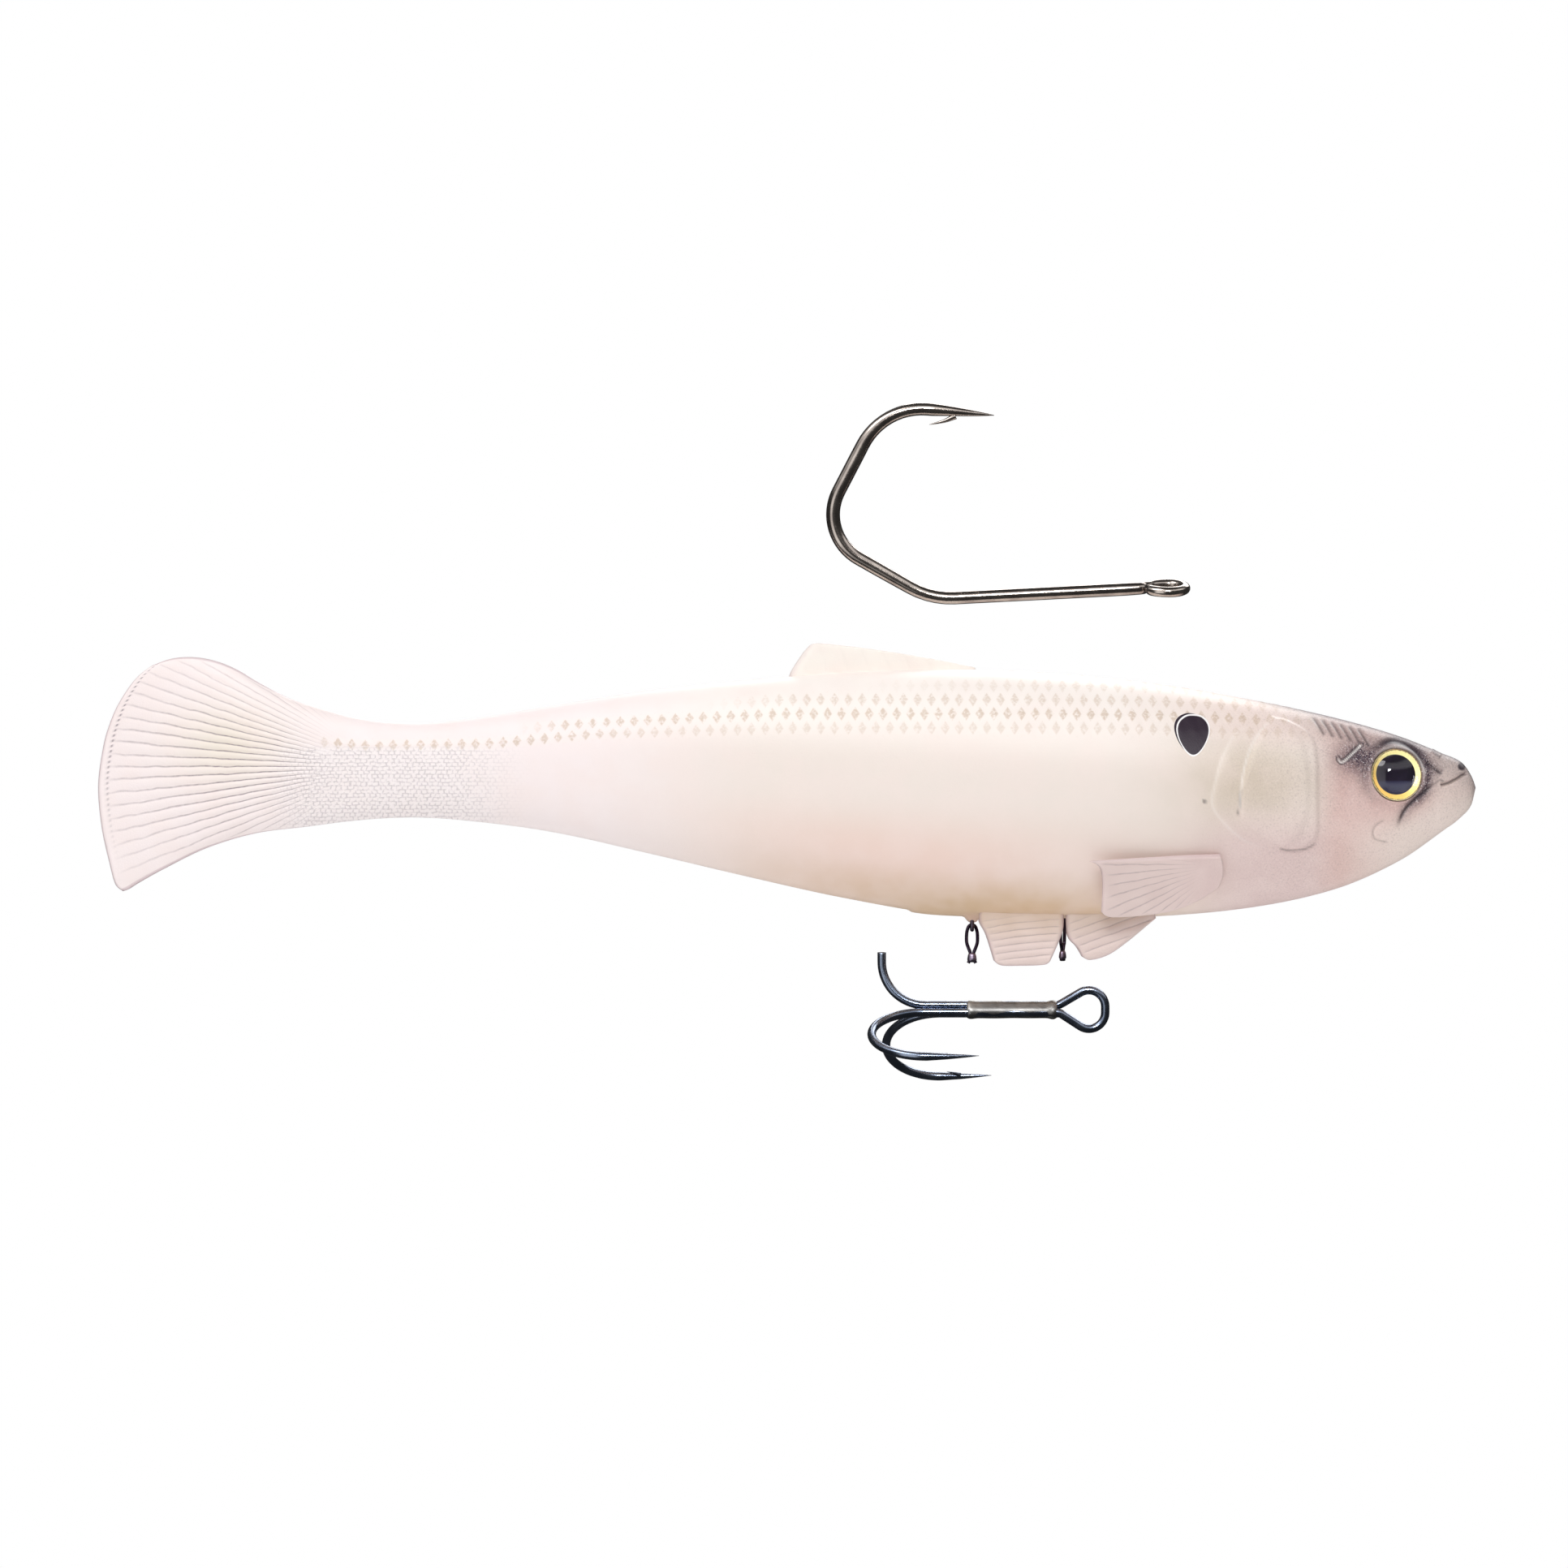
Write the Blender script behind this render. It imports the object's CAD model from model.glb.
"""Looks of the soft swimbait and its two loose hooks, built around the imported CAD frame.

Shapes are in millimetres in the part's own frame: +X towards the head, +Z up, +Y to the fish's
left. They become metres in add_piece(). The floor, the lights, the camera's distance, the bump
distances and the patterns on CAD nodes are in metres. Skin pieces carry their place at rest as
an attribute, so patterns stay on the skin when it bends.
"""

import math

import bmesh
import bpy
import numpy as np
from mathutils import Euler, Matrix, Vector


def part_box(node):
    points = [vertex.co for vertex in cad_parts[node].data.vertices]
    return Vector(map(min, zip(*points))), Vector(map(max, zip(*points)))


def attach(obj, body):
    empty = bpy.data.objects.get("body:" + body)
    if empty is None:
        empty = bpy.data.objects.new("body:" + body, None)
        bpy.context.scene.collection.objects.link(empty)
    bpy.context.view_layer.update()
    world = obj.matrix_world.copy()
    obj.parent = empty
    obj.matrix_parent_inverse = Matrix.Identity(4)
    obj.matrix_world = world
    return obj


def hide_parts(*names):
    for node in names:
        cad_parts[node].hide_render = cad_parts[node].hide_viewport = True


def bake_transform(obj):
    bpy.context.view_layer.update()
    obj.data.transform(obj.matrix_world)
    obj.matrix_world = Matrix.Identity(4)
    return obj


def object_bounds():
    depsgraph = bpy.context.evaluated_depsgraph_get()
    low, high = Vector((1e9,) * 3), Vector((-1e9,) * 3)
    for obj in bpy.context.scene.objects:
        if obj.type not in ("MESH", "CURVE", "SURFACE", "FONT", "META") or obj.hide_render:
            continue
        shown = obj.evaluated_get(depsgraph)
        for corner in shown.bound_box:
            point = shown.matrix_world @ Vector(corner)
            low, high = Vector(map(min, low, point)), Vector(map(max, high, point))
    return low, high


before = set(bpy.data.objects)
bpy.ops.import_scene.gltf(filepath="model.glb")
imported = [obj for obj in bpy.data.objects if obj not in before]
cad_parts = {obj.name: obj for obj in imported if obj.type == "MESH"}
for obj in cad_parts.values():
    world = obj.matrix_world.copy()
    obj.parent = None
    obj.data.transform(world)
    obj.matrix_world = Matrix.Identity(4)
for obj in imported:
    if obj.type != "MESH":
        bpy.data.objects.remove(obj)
CAD_LOW, CAD_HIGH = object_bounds()
MM = 0.001
SIDES = (("left", 1), ("right", -1))


# ---- sizes, as in the CAD model ----

HALF_WIDTH = 12.8
WAIST = 0.55
BODY_POWER = 2.3
HEAD_POWER = 3.0
CHEEK_START = -30
CHEEK_FULL = -12

# [x, top, bottom, half width as a share of the widest]
STATIONS = np.array([
    [-168, 9.4, -8.5, 0.15],
    [-160, 7.3, -7.5, 0.18],
    [-152, 6.6, -7.1, 0.22],
    [-144, 7.2, -7.6, 0.27],
    [-132, 9.1, -9.2, 0.38],
    [-118, 11.3, -12.3, 0.53],
    [-104, 12.8, -15.6, 0.69],
    [-90, 13.9, -18.7, 0.83],
    [-75, 14.4, -21.2, 0.94],
    [-60, 13.9, -21.8, 1],
    [-45, 12.4, -21.5, 1],
    [-30, 9.9, -20.1, 0.92],
    [-18, 7.3, -17.4, 0.78],
    [-9, 4.7, -13.4, 0.6],
    [-3, 2.3, -9.3, 0.42],
    [0, 0.95, -6.9, 0.3],
    [1.4, -0.9, -5.2, 0.18],
    [2, -2.7, -2.9, 0.03]])

# Where the skin is cut into pieces, and where each cut piece starts and stops bending
FAN_ROOT = -168
NOSE = 2
SEAMS = (-98, -119, -140, -159)
SKIN_PIECES = (
    ("skin_middle", "front", "middle", -98, -118, "body_middle", "soft_body"),
    ("skin_rear", "middle", "rear", -121, -139, "body_rear", "soft_body"),
    ("skin_tail_root", "rear", "tail", -141.5, -158, "tail_root", "soft_body"),
    ("skin_fan", "tail", "fan", -160, -176, "tail_fin", "soft_fin"))

FAN_TOP = [(-168, 9.4), (-169.5, 9.95), (-172, 11.1), (-175, 12.75), (-177.5, 14.25),
           (-180, 15.35), (-182.5, 16), (-185, 16.2), (-187.5, 15.9), (-190, 15)]
FAN_EDGE = [(-190, 15), (-192.5, 13), (-194.9, 9.5), (-196.3, 6.3), (-197.2, 3), (-197.9, -2.5),
            (-197.4, -8.5), (-196.2, -14), (-195.4, -16.8), (-194.3, -17.8)]
FAN_BOTTOM = [(-168, -8.5), (-175, -9.4), (-182, -11.5), (-188, -14.4), (-191.8, -16.5),
              (-193.4, -17.5), (-194.3, -17.8)]
FAN_EDGE_HALF = 0.45
FAN_FOCUS = (-156, 0.3)
FAN_RAY_TURN = 2.7
FAN_DOTS = 46

EYE_RADIUS = 3.75
EYE_TOE = 14
EYE_ROLL = 8
EYE_BULGE = 1.6
FOIL_THICKNESS = 0.3
PUPIL_RADIUS = 2.8
PUPIL_SHIFT = -0.25


# ---- curves ----

def smooth_line(points, steps):
    """Points along a Catmull-Rom curve through the given ones."""
    p = np.array(points, float)
    before = np.vstack([p[:1], p[:-1]])
    after = np.vstack([p[2:], p[-1:], p[-1:]])
    ahead = np.vstack([p[1:], p[-1:]])
    t = np.linspace(0, 1, steps, endpoint=False)[:, None]
    runs = []
    for i in range(len(p) - 1):
        a, b, c, d = before[i], p[i], ahead[i], after[i]
        runs.append(0.5 * (2 * b + (c - a) * t + (2 * a - 5 * b + 4 * c - d) * t ** 2
                           + (3 * b - a - 3 * c + d) * t ** 3))
    return np.vstack(runs + [p[-1:]])


def lengths_along(line):
    return np.concatenate([[0], np.cumsum(np.linalg.norm(np.diff(line, axis=0), axis=1))])


def even_points(points, shares):
    """Points at the given shares of the length of a smooth curve."""
    line = smooth_line(points, 16)
    s = lengths_along(line)
    return np.stack([np.interp(np.asarray(shares) * s[-1], s, line[:, k])
                     for k in range(line.shape[1])], axis=-1)


def rounded_route(corners, bends, step=math.radians(5)):
    """Straight runs between corners, with a round bend of the given radius at each inner one."""
    c = [np.array(p, float) for p in corners]
    out = [c[0]]
    for before, at, after, bend in zip(c[:-2], c[1:-1], c[2:], bends):
        u = (at - before) / np.linalg.norm(at - before)
        v = (after - at) / np.linalg.norm(after - at)
        turn = math.acos(float(np.clip(u @ v, -1, 1)))
        inward = v - u * math.cos(turn)
        inward /= np.linalg.norm(inward)
        start = at - u * bend * math.tan(turn / 2)
        for p in np.linspace(0, turn, max(3, int(turn / step))):
            out.append(start + bend * (math.sin(p) * u + (1 - math.cos(p)) * inward))
    return np.array(out + [c[-1]])


def respaced(line, spacing):
    s = lengths_along(line)
    at = np.linspace(0, s[-1], max(8, int(s[-1] / spacing)))
    return np.stack([np.interp(at, s, line[:, k]) for k in range(3)], axis=-1)


def ramp(value, low, high):
    """Smooth step from 0 at low to 1 at high; low may be the larger."""
    t = np.clip((value - low) / (high - low), 0, 1)
    return t * t * (3 - 2 * t)


def bump_at(x, z, cx, cz, sx, sz):
    return np.exp(-((x - cx) / sx) ** 2 - ((z - cz) / sz) ** 2)


def near(route, x, z):
    """Distance from each point to a smooth line in the side view, and the share along the line."""
    line = smooth_line(route, 6)
    s = lengths_along(line)
    best = np.full(x.shape, 1e9)
    share = np.zeros(x.shape)
    for (ax, az), (bx, bz), start, stop in zip(line[:-1], line[1:], s[:-1], s[1:]):
        run = max((bx - ax) ** 2 + (bz - az) ** 2, 1e-12)
        t = np.clip(((x - ax) * (bx - ax) + (z - az) * (bz - az)) / run, 0, 1)
        d = np.hypot(x - ax - t * (bx - ax), z - az - t * (bz - az))
        closer = d < best
        best = np.where(closer, d, best)
        share = np.where(closer, (start + t * (stop - start)) / s[-1], share)
    return best, share


def stroke(route, x, z, width, ends=0.12):
    """A soft line that fades in and out at its ends."""
    d, share = near(route, x, z)
    return np.exp(-(d / width) ** 2) * ramp(share, 0, ends) * ramp(share, 1, 1 - ends)


def inside(outline, x, z):
    """Signed distance to a closed smooth outline, positive inside."""
    line = smooth_line(list(outline) + [outline[0]], 6)
    d, _ = near(list(outline) + [outline[0]], x, z)
    within = np.zeros(x.shape, bool)
    for (ax, az), (bx, bz) in zip(line[:-1], line[1:]):
        if az == bz:
            continue
        crosses = ((az > z) != (bz > z)) & (x < (bx - ax) * (z - az) / (bz - az) + ax)
        within ^= crosses
    return np.where(within, d, -d)


# ---- mesh building ----

def add_piece(name, verts, faces, material, fields=None):
    """A smooth-shaded mesh object; verts are in mm."""
    mesh = bpy.data.meshes.new(name)
    mesh.from_pydata((np.asarray(verts) * MM).tolist(), [], np.asarray(faces).tolist()
                     if isinstance(faces, np.ndarray) else faces)
    mesh.polygons.foreach_set("use_smooth", [True] * len(mesh.polygons))
    for key, values in (fields or {}).items():
        values = np.asarray(values, np.float32)
        if values.ndim == 1:
            mesh.attributes.new(key, "FLOAT", "POINT").data.foreach_set("value", values)
        else:
            mesh.attributes.new(key, "FLOAT_VECTOR", "POINT").data.foreach_set("vector", values.ravel())
    mesh.materials.append(material)
    mesh.update()
    obj = bpy.data.objects.new(name, mesh)
    bpy.context.scene.collection.objects.link(obj)
    return obj


def grid_faces(rows, columns, closed):
    """Quads over rows of points; closed joins each row's last point to its first."""
    i = np.arange(rows - 1)[:, None]
    k = np.arange(columns if closed else columns - 1)[None, :]
    a = i * columns + k
    b = i * columns + (k + 1) % columns
    return np.stack([a, b, b + columns, a + columns], axis=-1).reshape(-1, 4)


def capped_tube(rows, columns):
    """Faces of a closed tube of ring after ring, with a flat face over each end."""
    last = (rows - 1) * columns
    return grid_faces(rows, columns, True).tolist() + [list(range(columns - 1, -1, -1)),
                                                       [last + k for k in range(columns)]]


def sweep(line, radii, sides, flatten=None):
    """A round tube along a line; flatten gives the width share along the carried direction."""
    line = np.asarray(line, float)
    radii = np.broadcast_to(radii, len(line))
    flatten = np.ones(len(line)) if flatten is None else flatten
    heading = np.gradient(line, axis=0)
    heading /= np.linalg.norm(heading, axis=1)[:, None]
    side = np.cross(heading[0], (0, 1, 0) if abs(heading[0][1]) < 0.9 else (1, 0, 0))
    angles = np.linspace(0, 2 * np.pi, sides, endpoint=False)
    rings = []
    for point, along, radius, flat in zip(line, heading, radii, flatten):
        side = side - (side @ along) * along
        side /= np.linalg.norm(side)
        other = np.cross(along, side)
        rings.append(point + radius * (flat * np.cos(angles)[:, None] * side
                                       + np.sin(angles)[:, None] * other))
    return np.vstack(rings), capped_tube(len(line), sides)


def joined(*parts):
    verts, faces, offset = [], [], 0
    for part_verts, part_faces in parts:
        verts.append(part_verts)
        faces += [[offset + k for k in face] for face in part_faces]
        offset += len(part_verts)
    return np.vstack(verts), faces


def lathe(outline, sides=96):
    """A closed solid of revolution about local Z from (radius, height) pairs; ends lie on the axis."""
    angles = np.linspace(0, 2 * np.pi, sides, endpoint=False)
    rings = [[(r * math.cos(a), r * math.sin(a), h) for a in angles] for r, h in outline[1:-1]]
    verts = np.vstack([np.array(ring) for ring in rings] + [[(0, 0, outline[0][1])],
                                                            [(0, 0, outline[-1][1])]])
    rows = len(rings)
    faces = grid_faces(rows, sides, True).tolist()
    first, last = rows * sides, rows * sides + 1
    end = (rows - 1) * sides
    faces += [[first, (k + 1) % sides, k] for k in range(sides)]
    faces += [[last, end + k, end + (k + 1) % sides] for k in range(sides)]
    return verts, faces


def coons(first, last, start, stop):
    """Patch between four edge arrays: first and last run across, start and stop run along."""
    t = np.linspace(0, 1, len(start))[:, None, None]
    s = np.linspace(0, 1, len(first))[None, :, None]
    ruled = (1 - t) * first[None] + t * last[None] + (1 - s) * start[:, None] + s * stop[:, None]
    corners = ((1 - s) * (1 - t) * first[0] + s * (1 - t) * first[-1]
               + (1 - s) * t * last[0] + s * t * last[-1])
    return ruled - corners


# ---- body skin ----

def profile(x, column):
    """Smooth curve through one column of the stations."""
    xs, ys = STATIONS[:, 0], STATIONS[:, column]
    slopes = np.empty(len(xs))
    slopes[1:-1] = (ys[2:] - ys[:-2]) / (xs[2:] - xs[:-2])
    slopes[0] = (ys[1] - ys[0]) / (xs[1] - xs[0])
    slopes[-1] = (ys[-1] - ys[-2]) / (xs[-1] - xs[-2])
    i = np.clip(np.searchsorted(xs, x, side="right") - 1, 0, len(xs) - 2)
    run = xs[i + 1] - xs[i]
    t = (x - xs[i]) / run
    return ((2 * t ** 3 - 3 * t ** 2 + 1) * ys[i] + (t ** 3 - 2 * t ** 2 + t) * run * slopes[i]
            + (3 * t ** 2 - 2 * t ** 3) * ys[i + 1] + (t ** 3 - t ** 2) * run * slopes[i + 1])


HALF_SIDES = 160
DENSE_SIDES = 500
FRONT_RINGS = 421
RING_SPACING = 0.45


def half_rings(xs):
    """Left half of each body ring, evenly spaced from its top round to its bottom."""
    top, bottom, half = (profile(xs, c)[:, None] for c in (1, 2, 3))
    half = half * HALF_WIDTH
    waist = bottom + WAIST * (top - bottom)
    cheek = np.clip((xs - CHEEK_START) / (CHEEK_FULL - CHEEK_START), 0, 1)[:, None]
    power = BODY_POWER + (HEAD_POWER - BODY_POWER) * cheek
    a = np.linspace(np.pi / 2, -np.pi / 2, DENSE_SIDES)[None, :]
    rise = np.sign(np.sin(a)) * np.abs(np.sin(a)) ** (2 / power)
    y = half * np.clip(np.cos(a), 0, 1) ** (2 / power)
    z = waist + rise * np.where(rise > 0, top - waist, waist - bottom)
    out = np.empty((len(xs), HALF_SIDES + 1, 3))
    for i, x in enumerate(xs):
        line = np.stack([y[i], z[i]], axis=-1)
        s = lengths_along(line)
        at = np.linspace(0, s[-1], HALF_SIDES + 1)
        out[i, :, 0] = x
        out[i, :, 1] = np.interp(at, s, y[i])
        out[i, :, 2] = np.interp(at, s, z[i])
    out[:, (0, -1), 1] = 0
    return out


def body_xs():
    """Ring places from nose to fan root, crowded towards the nose; every seam is one of them."""
    nose = STATIONS[-1, 0]
    reach = nose - SEAMS[0]
    turn = np.linspace(0, np.pi / 2, FRONT_RINGS)
    front = nose - reach * (1 - np.cos(turn))
    front[0] = nose - 1e-4
    rest = [np.linspace(a, b, max(2, int(abs(b - a) / RING_SPACING)) + 1)[1:]
            for a, b in zip(SEAMS, SEAMS[1:] + (FAN_ROOT,))]
    return np.concatenate([front] + rest)


def fan_rows(root, rows=110):
    """Left half of the fan's rows, from the last body ring to the trailing edge."""
    t = np.linspace(0, 1, rows + 1)
    v = np.linspace(0, 1, HALF_SIDES + 1)
    patch = coons(root[:, (0, 2)], even_points(FAN_EDGE, v), even_points(FAN_TOP, t),
                  even_points(FAN_BOTTOM, t))
    root_half = root[:, 1].max()
    half = root_half + (FAN_EDGE_HALF - root_half) * ramp(t, 0, 0.9)
    half = half * np.sqrt(np.clip(1 - (np.clip(t - 0.985, 0, 1) / 0.015) ** 2, 0, 1))
    out = np.empty((rows + 1, HALF_SIDES + 1, 3))
    out[:, :, 0] = patch[:, :, 0]
    out[:, :, 2] = patch[:, :, 1]
    out[:, :, 1] = root[None, :, 1] / root_half * half[:, None]
    return out[1:], t[1:]


def both_sides(half):
    """Whole rings: down the left side and back up the right side."""
    right = half[:, -2:0:-1].copy()
    right[..., 1] *= -1
    return np.concatenate([half, right], axis=1)


def normals_of(rings):
    along = np.gradient(rings, axis=0)
    wrapped = np.concatenate([rings[:, -1:], rings, rings[:, :1]], axis=1)
    across = (wrapped[:, 2:] - wrapped[:, :-2]) / 2
    n = np.cross(across, along)
    length = np.linalg.norm(n, axis=-1, keepdims=True)
    n = n / np.maximum(length, 1e-9)
    centre = rings.mean(axis=1, keepdims=True)
    outward = np.sign(((rings - centre) * n).sum(axis=-1).mean())
    return n * outward


# ---- head and skin features, drawn in the side view as (x, z) ----

MOUTH = [(0.8, -0.6), (0.1, -0.9), (-0.6, -1.4), (-2.0, -2.1), (-3.2, -2.4)]
MAXILLA = [(-3.6, -1.6), (-5.0, -2.9), (-6.4, -4.05), (-7.5, -5.0), (-8.5, -6.2), (-9.2, -7.6),
           (-9.7, -8.9)]
LOWER_JAW = [(0.6, -0.9), (-0.6, -1.9), (-2.2, -2.7), (-3.6, -4.2), (-3.8, -7.5), (-1.0, -8.5),
             (2.6, -5.5), (2.9, -2.0)]
NOSTRIL = [(-5.3, 1.1), (-4.2, 0.2), (-2.9, -0.8)]
LIP_LINE = [(-2.6, -1.9), (-3.4, -1.7), (-4.4, -2.5)]
BROW = [(-13.3, 2.0), (-12.2, 3.3), (-10.5, 4.05), (-8.9, 3.85), (-7.2, 2.8), (-6.0, 1.2),
        (-5.5, -0.5)]
SNOUT_RIDGE = [(-4.5, 2.7), (-3.8, 2.0), (-3.2, 1.5)]
CHEEK_ARC = [(-11.2, -7.3), (-12.7, -8.3), (-13.1, -9.3), (-12.6, -10.3), (-10.6, -10.7)]
CHECK_MARK = [(-18.2, 1.5), (-18.0, 1.1), (-17.5, 1.0), (-16.2, 2.1), (-14.8, 3.5)]
GILL_PLATE = [(-27.6, 7.4), (-24.8, 6.6), (-22.2, 4.8), (-21.3, 2.0), (-21.2, -4.0), (-21.3, -9.6),
              (-23.6, -11.3), (-26.8, -11.3), (-30.2, -9.4), (-32.6, -6.6), (-32.4, -3.3),
              (-31.4, 0.2), (-29.7, 4.2)]
GILL_FLOOR = [(-27.0, -11.4), (-25.2, -11.9), (-22.8, -11.6), (-21.2, -10.6)]
GILL_SLIT = [(-32.3, -2.9), (-32.5, -4.9), (-32.8, -6.9)]
GILL_BORDER = [(-27.7, 7.3), (-30.6, 3.6), (-32.0, -0.5), (-32.7, -6.8)]
OUTER_GILL = [(-28.9, 6.6), (-32.6, 5.4), (-34.8, 2.0), (-36.2, -2.7), (-36.5, -5.1), (-35.2, -7.4),
              (-31.8, -10.4), (-27.1, -11.9)]
GILL_COVER = OUTER_GILL + [(-24.2, -10.2), (-22.6, -6.0), (-22.6, 0.0), (-24.0, 4.8)]
GILL_DOT = (-37.6, -4.75)
HEAD_RIDGES = 6
HEAD_RIDGE_FRONT = -14.4
HEAD_RIDGE_PITCH = 1.3

# Height of the main row of scale marks along the body, and the pitch between the rows
SCALE_ROW_X = [-168, -159, -141, -134, -126, -98, -60, -45, -28]
SCALE_ROW_Z = [5.9, 5.1, 5.4, 6.0, 6.6, 7.9, 7.9, 7.7, 7.0]
SCALE_PITCH = 2.0
SCALE_DROP_X = [-141, -134, -126, -98]
SCALE_DROP = [1.8, 1.75, 1.6, 2.05]

SLIT = (-62, -53)
SLIT_HALF = 1.25
SLIT_ROOF = -17
NUB_X = -71
STEP_X = -80
TUBE_MOUTH_RADIUS = 0.5
TUBE_MOUTH_MARK = (-0.05, 0.3)
HEAD_BACK = -46


def scale_rows(x, z):
    """Place among the scales: columns along the body, and rows up from the main one."""
    main = np.interp(x, SCALE_ROW_X, SCALE_ROW_Z)
    pitch = np.interp(x, SCALE_DROP_X, SCALE_DROP)
    return x / SCALE_PITCH, (z - main) / pitch


def scale_strength(x, row):
    """How strongly each row is marked, from 0 to 1, by its number above the main one."""
    rows = (
        (-1, 0.55 + 0.45 * ramp(x, -112, -136), -167, -163),
        (0, 1.0, -138, -128),
        (1, 0.72, -112, -92),
        (2, 0.45, -92, -60),
        (3, 0.36, -75, -50))
    total = np.zeros(x.shape)
    for number, share, start, full in rows:
        near_row = ramp(np.abs(row - number), 0.62, 0.38)
        total = np.maximum(total, share * ramp(x, start, full) * near_row)
    return total * ramp(x, -17, -30)


def scale_relief(column, row):
    """Height of each scale: a low diamond in every cell of a staggered lattice."""
    index = np.round(row)
    shifted = column + 0.5 * np.mod(index, 2)
    across = np.abs(shifted - np.round(shifted))
    up = np.abs(row - index)
    return np.clip(1 - across / 0.5 - up / 0.62, 0, 1)


def head_ridges(x, z):
    """Slanted edges of the crown's scales."""
    total = np.zeros(x.shape)
    for i in range(HEAD_RIDGES):
        front = HEAD_RIDGE_FRONT - i * HEAD_RIDGE_PITCH
        top = float(profile(np.array([front]), 1)[0])
        route = [(front - 0.9, top - 0.4), (front, top - 1.7), (front + 0.9, top - 3.3)]
        total += stroke(route, x, z, 0.28, 0.15)
    return total


def eye_matrix(name, side):
    low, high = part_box(f"eye_foil_{name}")
    turn = Matrix.Rotation(math.radians(-side * EYE_TOE), 3, "Z") @ Matrix.Rotation(
        math.radians(side * (EYE_ROLL - 90)), 3, "X")
    axes = np.array(turn)
    centre = np.array((low + high) / 2) / MM - axes[:, 2] * FOIL_THICKNESS / 2
    return centre, axes


def sink_eyes(rings):
    """Sockets: the skin drops under each foil, behind a low raised rim."""
    flat = rings.reshape(-1, 3).copy()
    for name, side in SIDES:
        centre, axes = eye_matrix(name, side)
        local = (flat - centre) @ axes
        r = np.hypot(local[:, 0], local[:, 1])
        facing = (flat[:, 1] * side > 1.0) & (local[:, 2] > -4)
        depth = ramp(r, EYE_RADIUS + 0.35, EYE_RADIUS + 0.02) * facing
        local[:, 2] += (-0.25 - local[:, 2]) * depth
        above = -side * local[:, 1] / np.maximum(r, 1e-6)
        lid = 0.05 + 0.22 * ramp(above, 0.1, 0.8)
        local[:, 2] += lid * np.exp(-((r - EYE_RADIUS - 0.42) / 0.3) ** 2) * facing
        flat = np.where(facing[:, None], local @ axes.T + centre, flat)
    return flat.reshape(rings.shape)


def skin_lift(x, z, head):
    """How far the skin stands out along its normal, in mm."""
    column, row = scale_rows(x, z)
    lift = 0.10 * scale_relief(column, row) * scale_strength(x, row)
    lift[head] += head_lift(x[head], z[head])
    return lift


# Height, line, width and share of the line over which it fades at its ends
HEAD_RELIEF = (
    (-0.55, MOUTH, 0.26, 0.03),
    (-0.42, MAXILLA, 0.34, 0.3),
    (-0.45, NOSTRIL, 0.32, 0.12),
    (-0.22, BROW, 0.35, 0.12),
    (0.18, SNOUT_RIDGE, 0.45, 0.12),
    (-0.14, CHEEK_ARC, 0.18, 0.12),
    (-0.35, CHECK_MARK, 0.24, 0.12),
    (-0.30, GILL_SLIT, 0.2, 0.12),
    (-0.22, GILL_FLOOR, 0.2, 0.12))


def head_lift(x, z):
    """The relief of the head: gill plates, jaw, grooves and ridges."""
    lift = 0.36 * ramp(inside(GILL_PLATE, x, z), -0.3, 0.45)
    lift += 0.20 * ramp(inside(GILL_COVER, x, z), -0.4, 0.8)
    lift += 0.10 * ramp(inside(LOWER_JAW, x, z), -0.3, 0.9)
    for height, route, width, ends in HEAD_RELIEF:
        lift += height * stroke(route, x, z, width, ends)
    lift -= 0.20 * head_ridges(x, z)
    return lift


def cut_belly(points):
    """The slit between the flaps, the nub at the rear staple and the moulding step behind it."""
    x, y, z = points[..., 0], points[..., 1], points[..., 2]
    low = z < -12
    open_slit = (ramp(x, SLIT[0] - 0.3, SLIT[0] + 0.4) * ramp(x, SLIT[1] + 0.3, SLIT[1] - 0.4)
                 * ramp(np.abs(y), SLIT_HALF + 0.35, SLIT_HALF - 0.2) * low)
    z = z + (SLIT_ROOF - z) * open_slit
    nub = np.exp(-((x - NUB_X) / 0.95) ** 4 - (y / 2.2) ** 4) * low
    z = z - 0.85 * nub
    step = ramp(x, STEP_X - 0.5, STEP_X + 0.4) * ramp(x, STEP_X + 9, STEP_X + 1)
    z = z - 0.28 * step * ramp(np.abs(y), 5, 2) * low
    return np.stack([x, y, z], axis=-1)


def cut_tube_mouth(points):
    """The round hole at the nose that shows the line tube's mouth."""
    x, y, z = points[..., 0], points[..., 1], points[..., 2]
    hole = ramp(np.hypot(y, z), TUBE_MOUTH_RADIUS + 0.28, TUBE_MOUTH_RADIUS) * (x > -0.5)
    return np.stack([x - hole * (x + 0.35), y, z], axis=-1)


# ---- skin colours ----

def srgb(r, g, b):
    """Linear colour from the 0 to 255 values of a screen colour."""
    c = np.array([r, g, b], float) / 255
    return np.where(c <= 0.04045, c / 12.92, ((c + 0.055) / 1.055) ** 2.4)


PEARL = srgb(243, 231, 223)
BACK = srgb(255, 246, 240)
BELLY = srgb(216, 186, 152)
PEACH = srgb(244, 214, 202)
TAIL = srgb(252, 240, 239)
FAN_WARM = srgb(240, 230, 212)
GILL = srgb(214, 198, 180)
THROAT = srgb(229, 205, 201)
CHEEK = srgb(225, 190, 183)
JAW = srgb(242, 225, 216)
CROWN = srgb(238, 212, 204)
NUB = srgb(226, 172, 184)
FLAP = srgb(228, 208, 202)


def tinted(base, colour, share):
    return base + (colour - base) * np.clip(share, 0, 1)[..., None]


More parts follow.
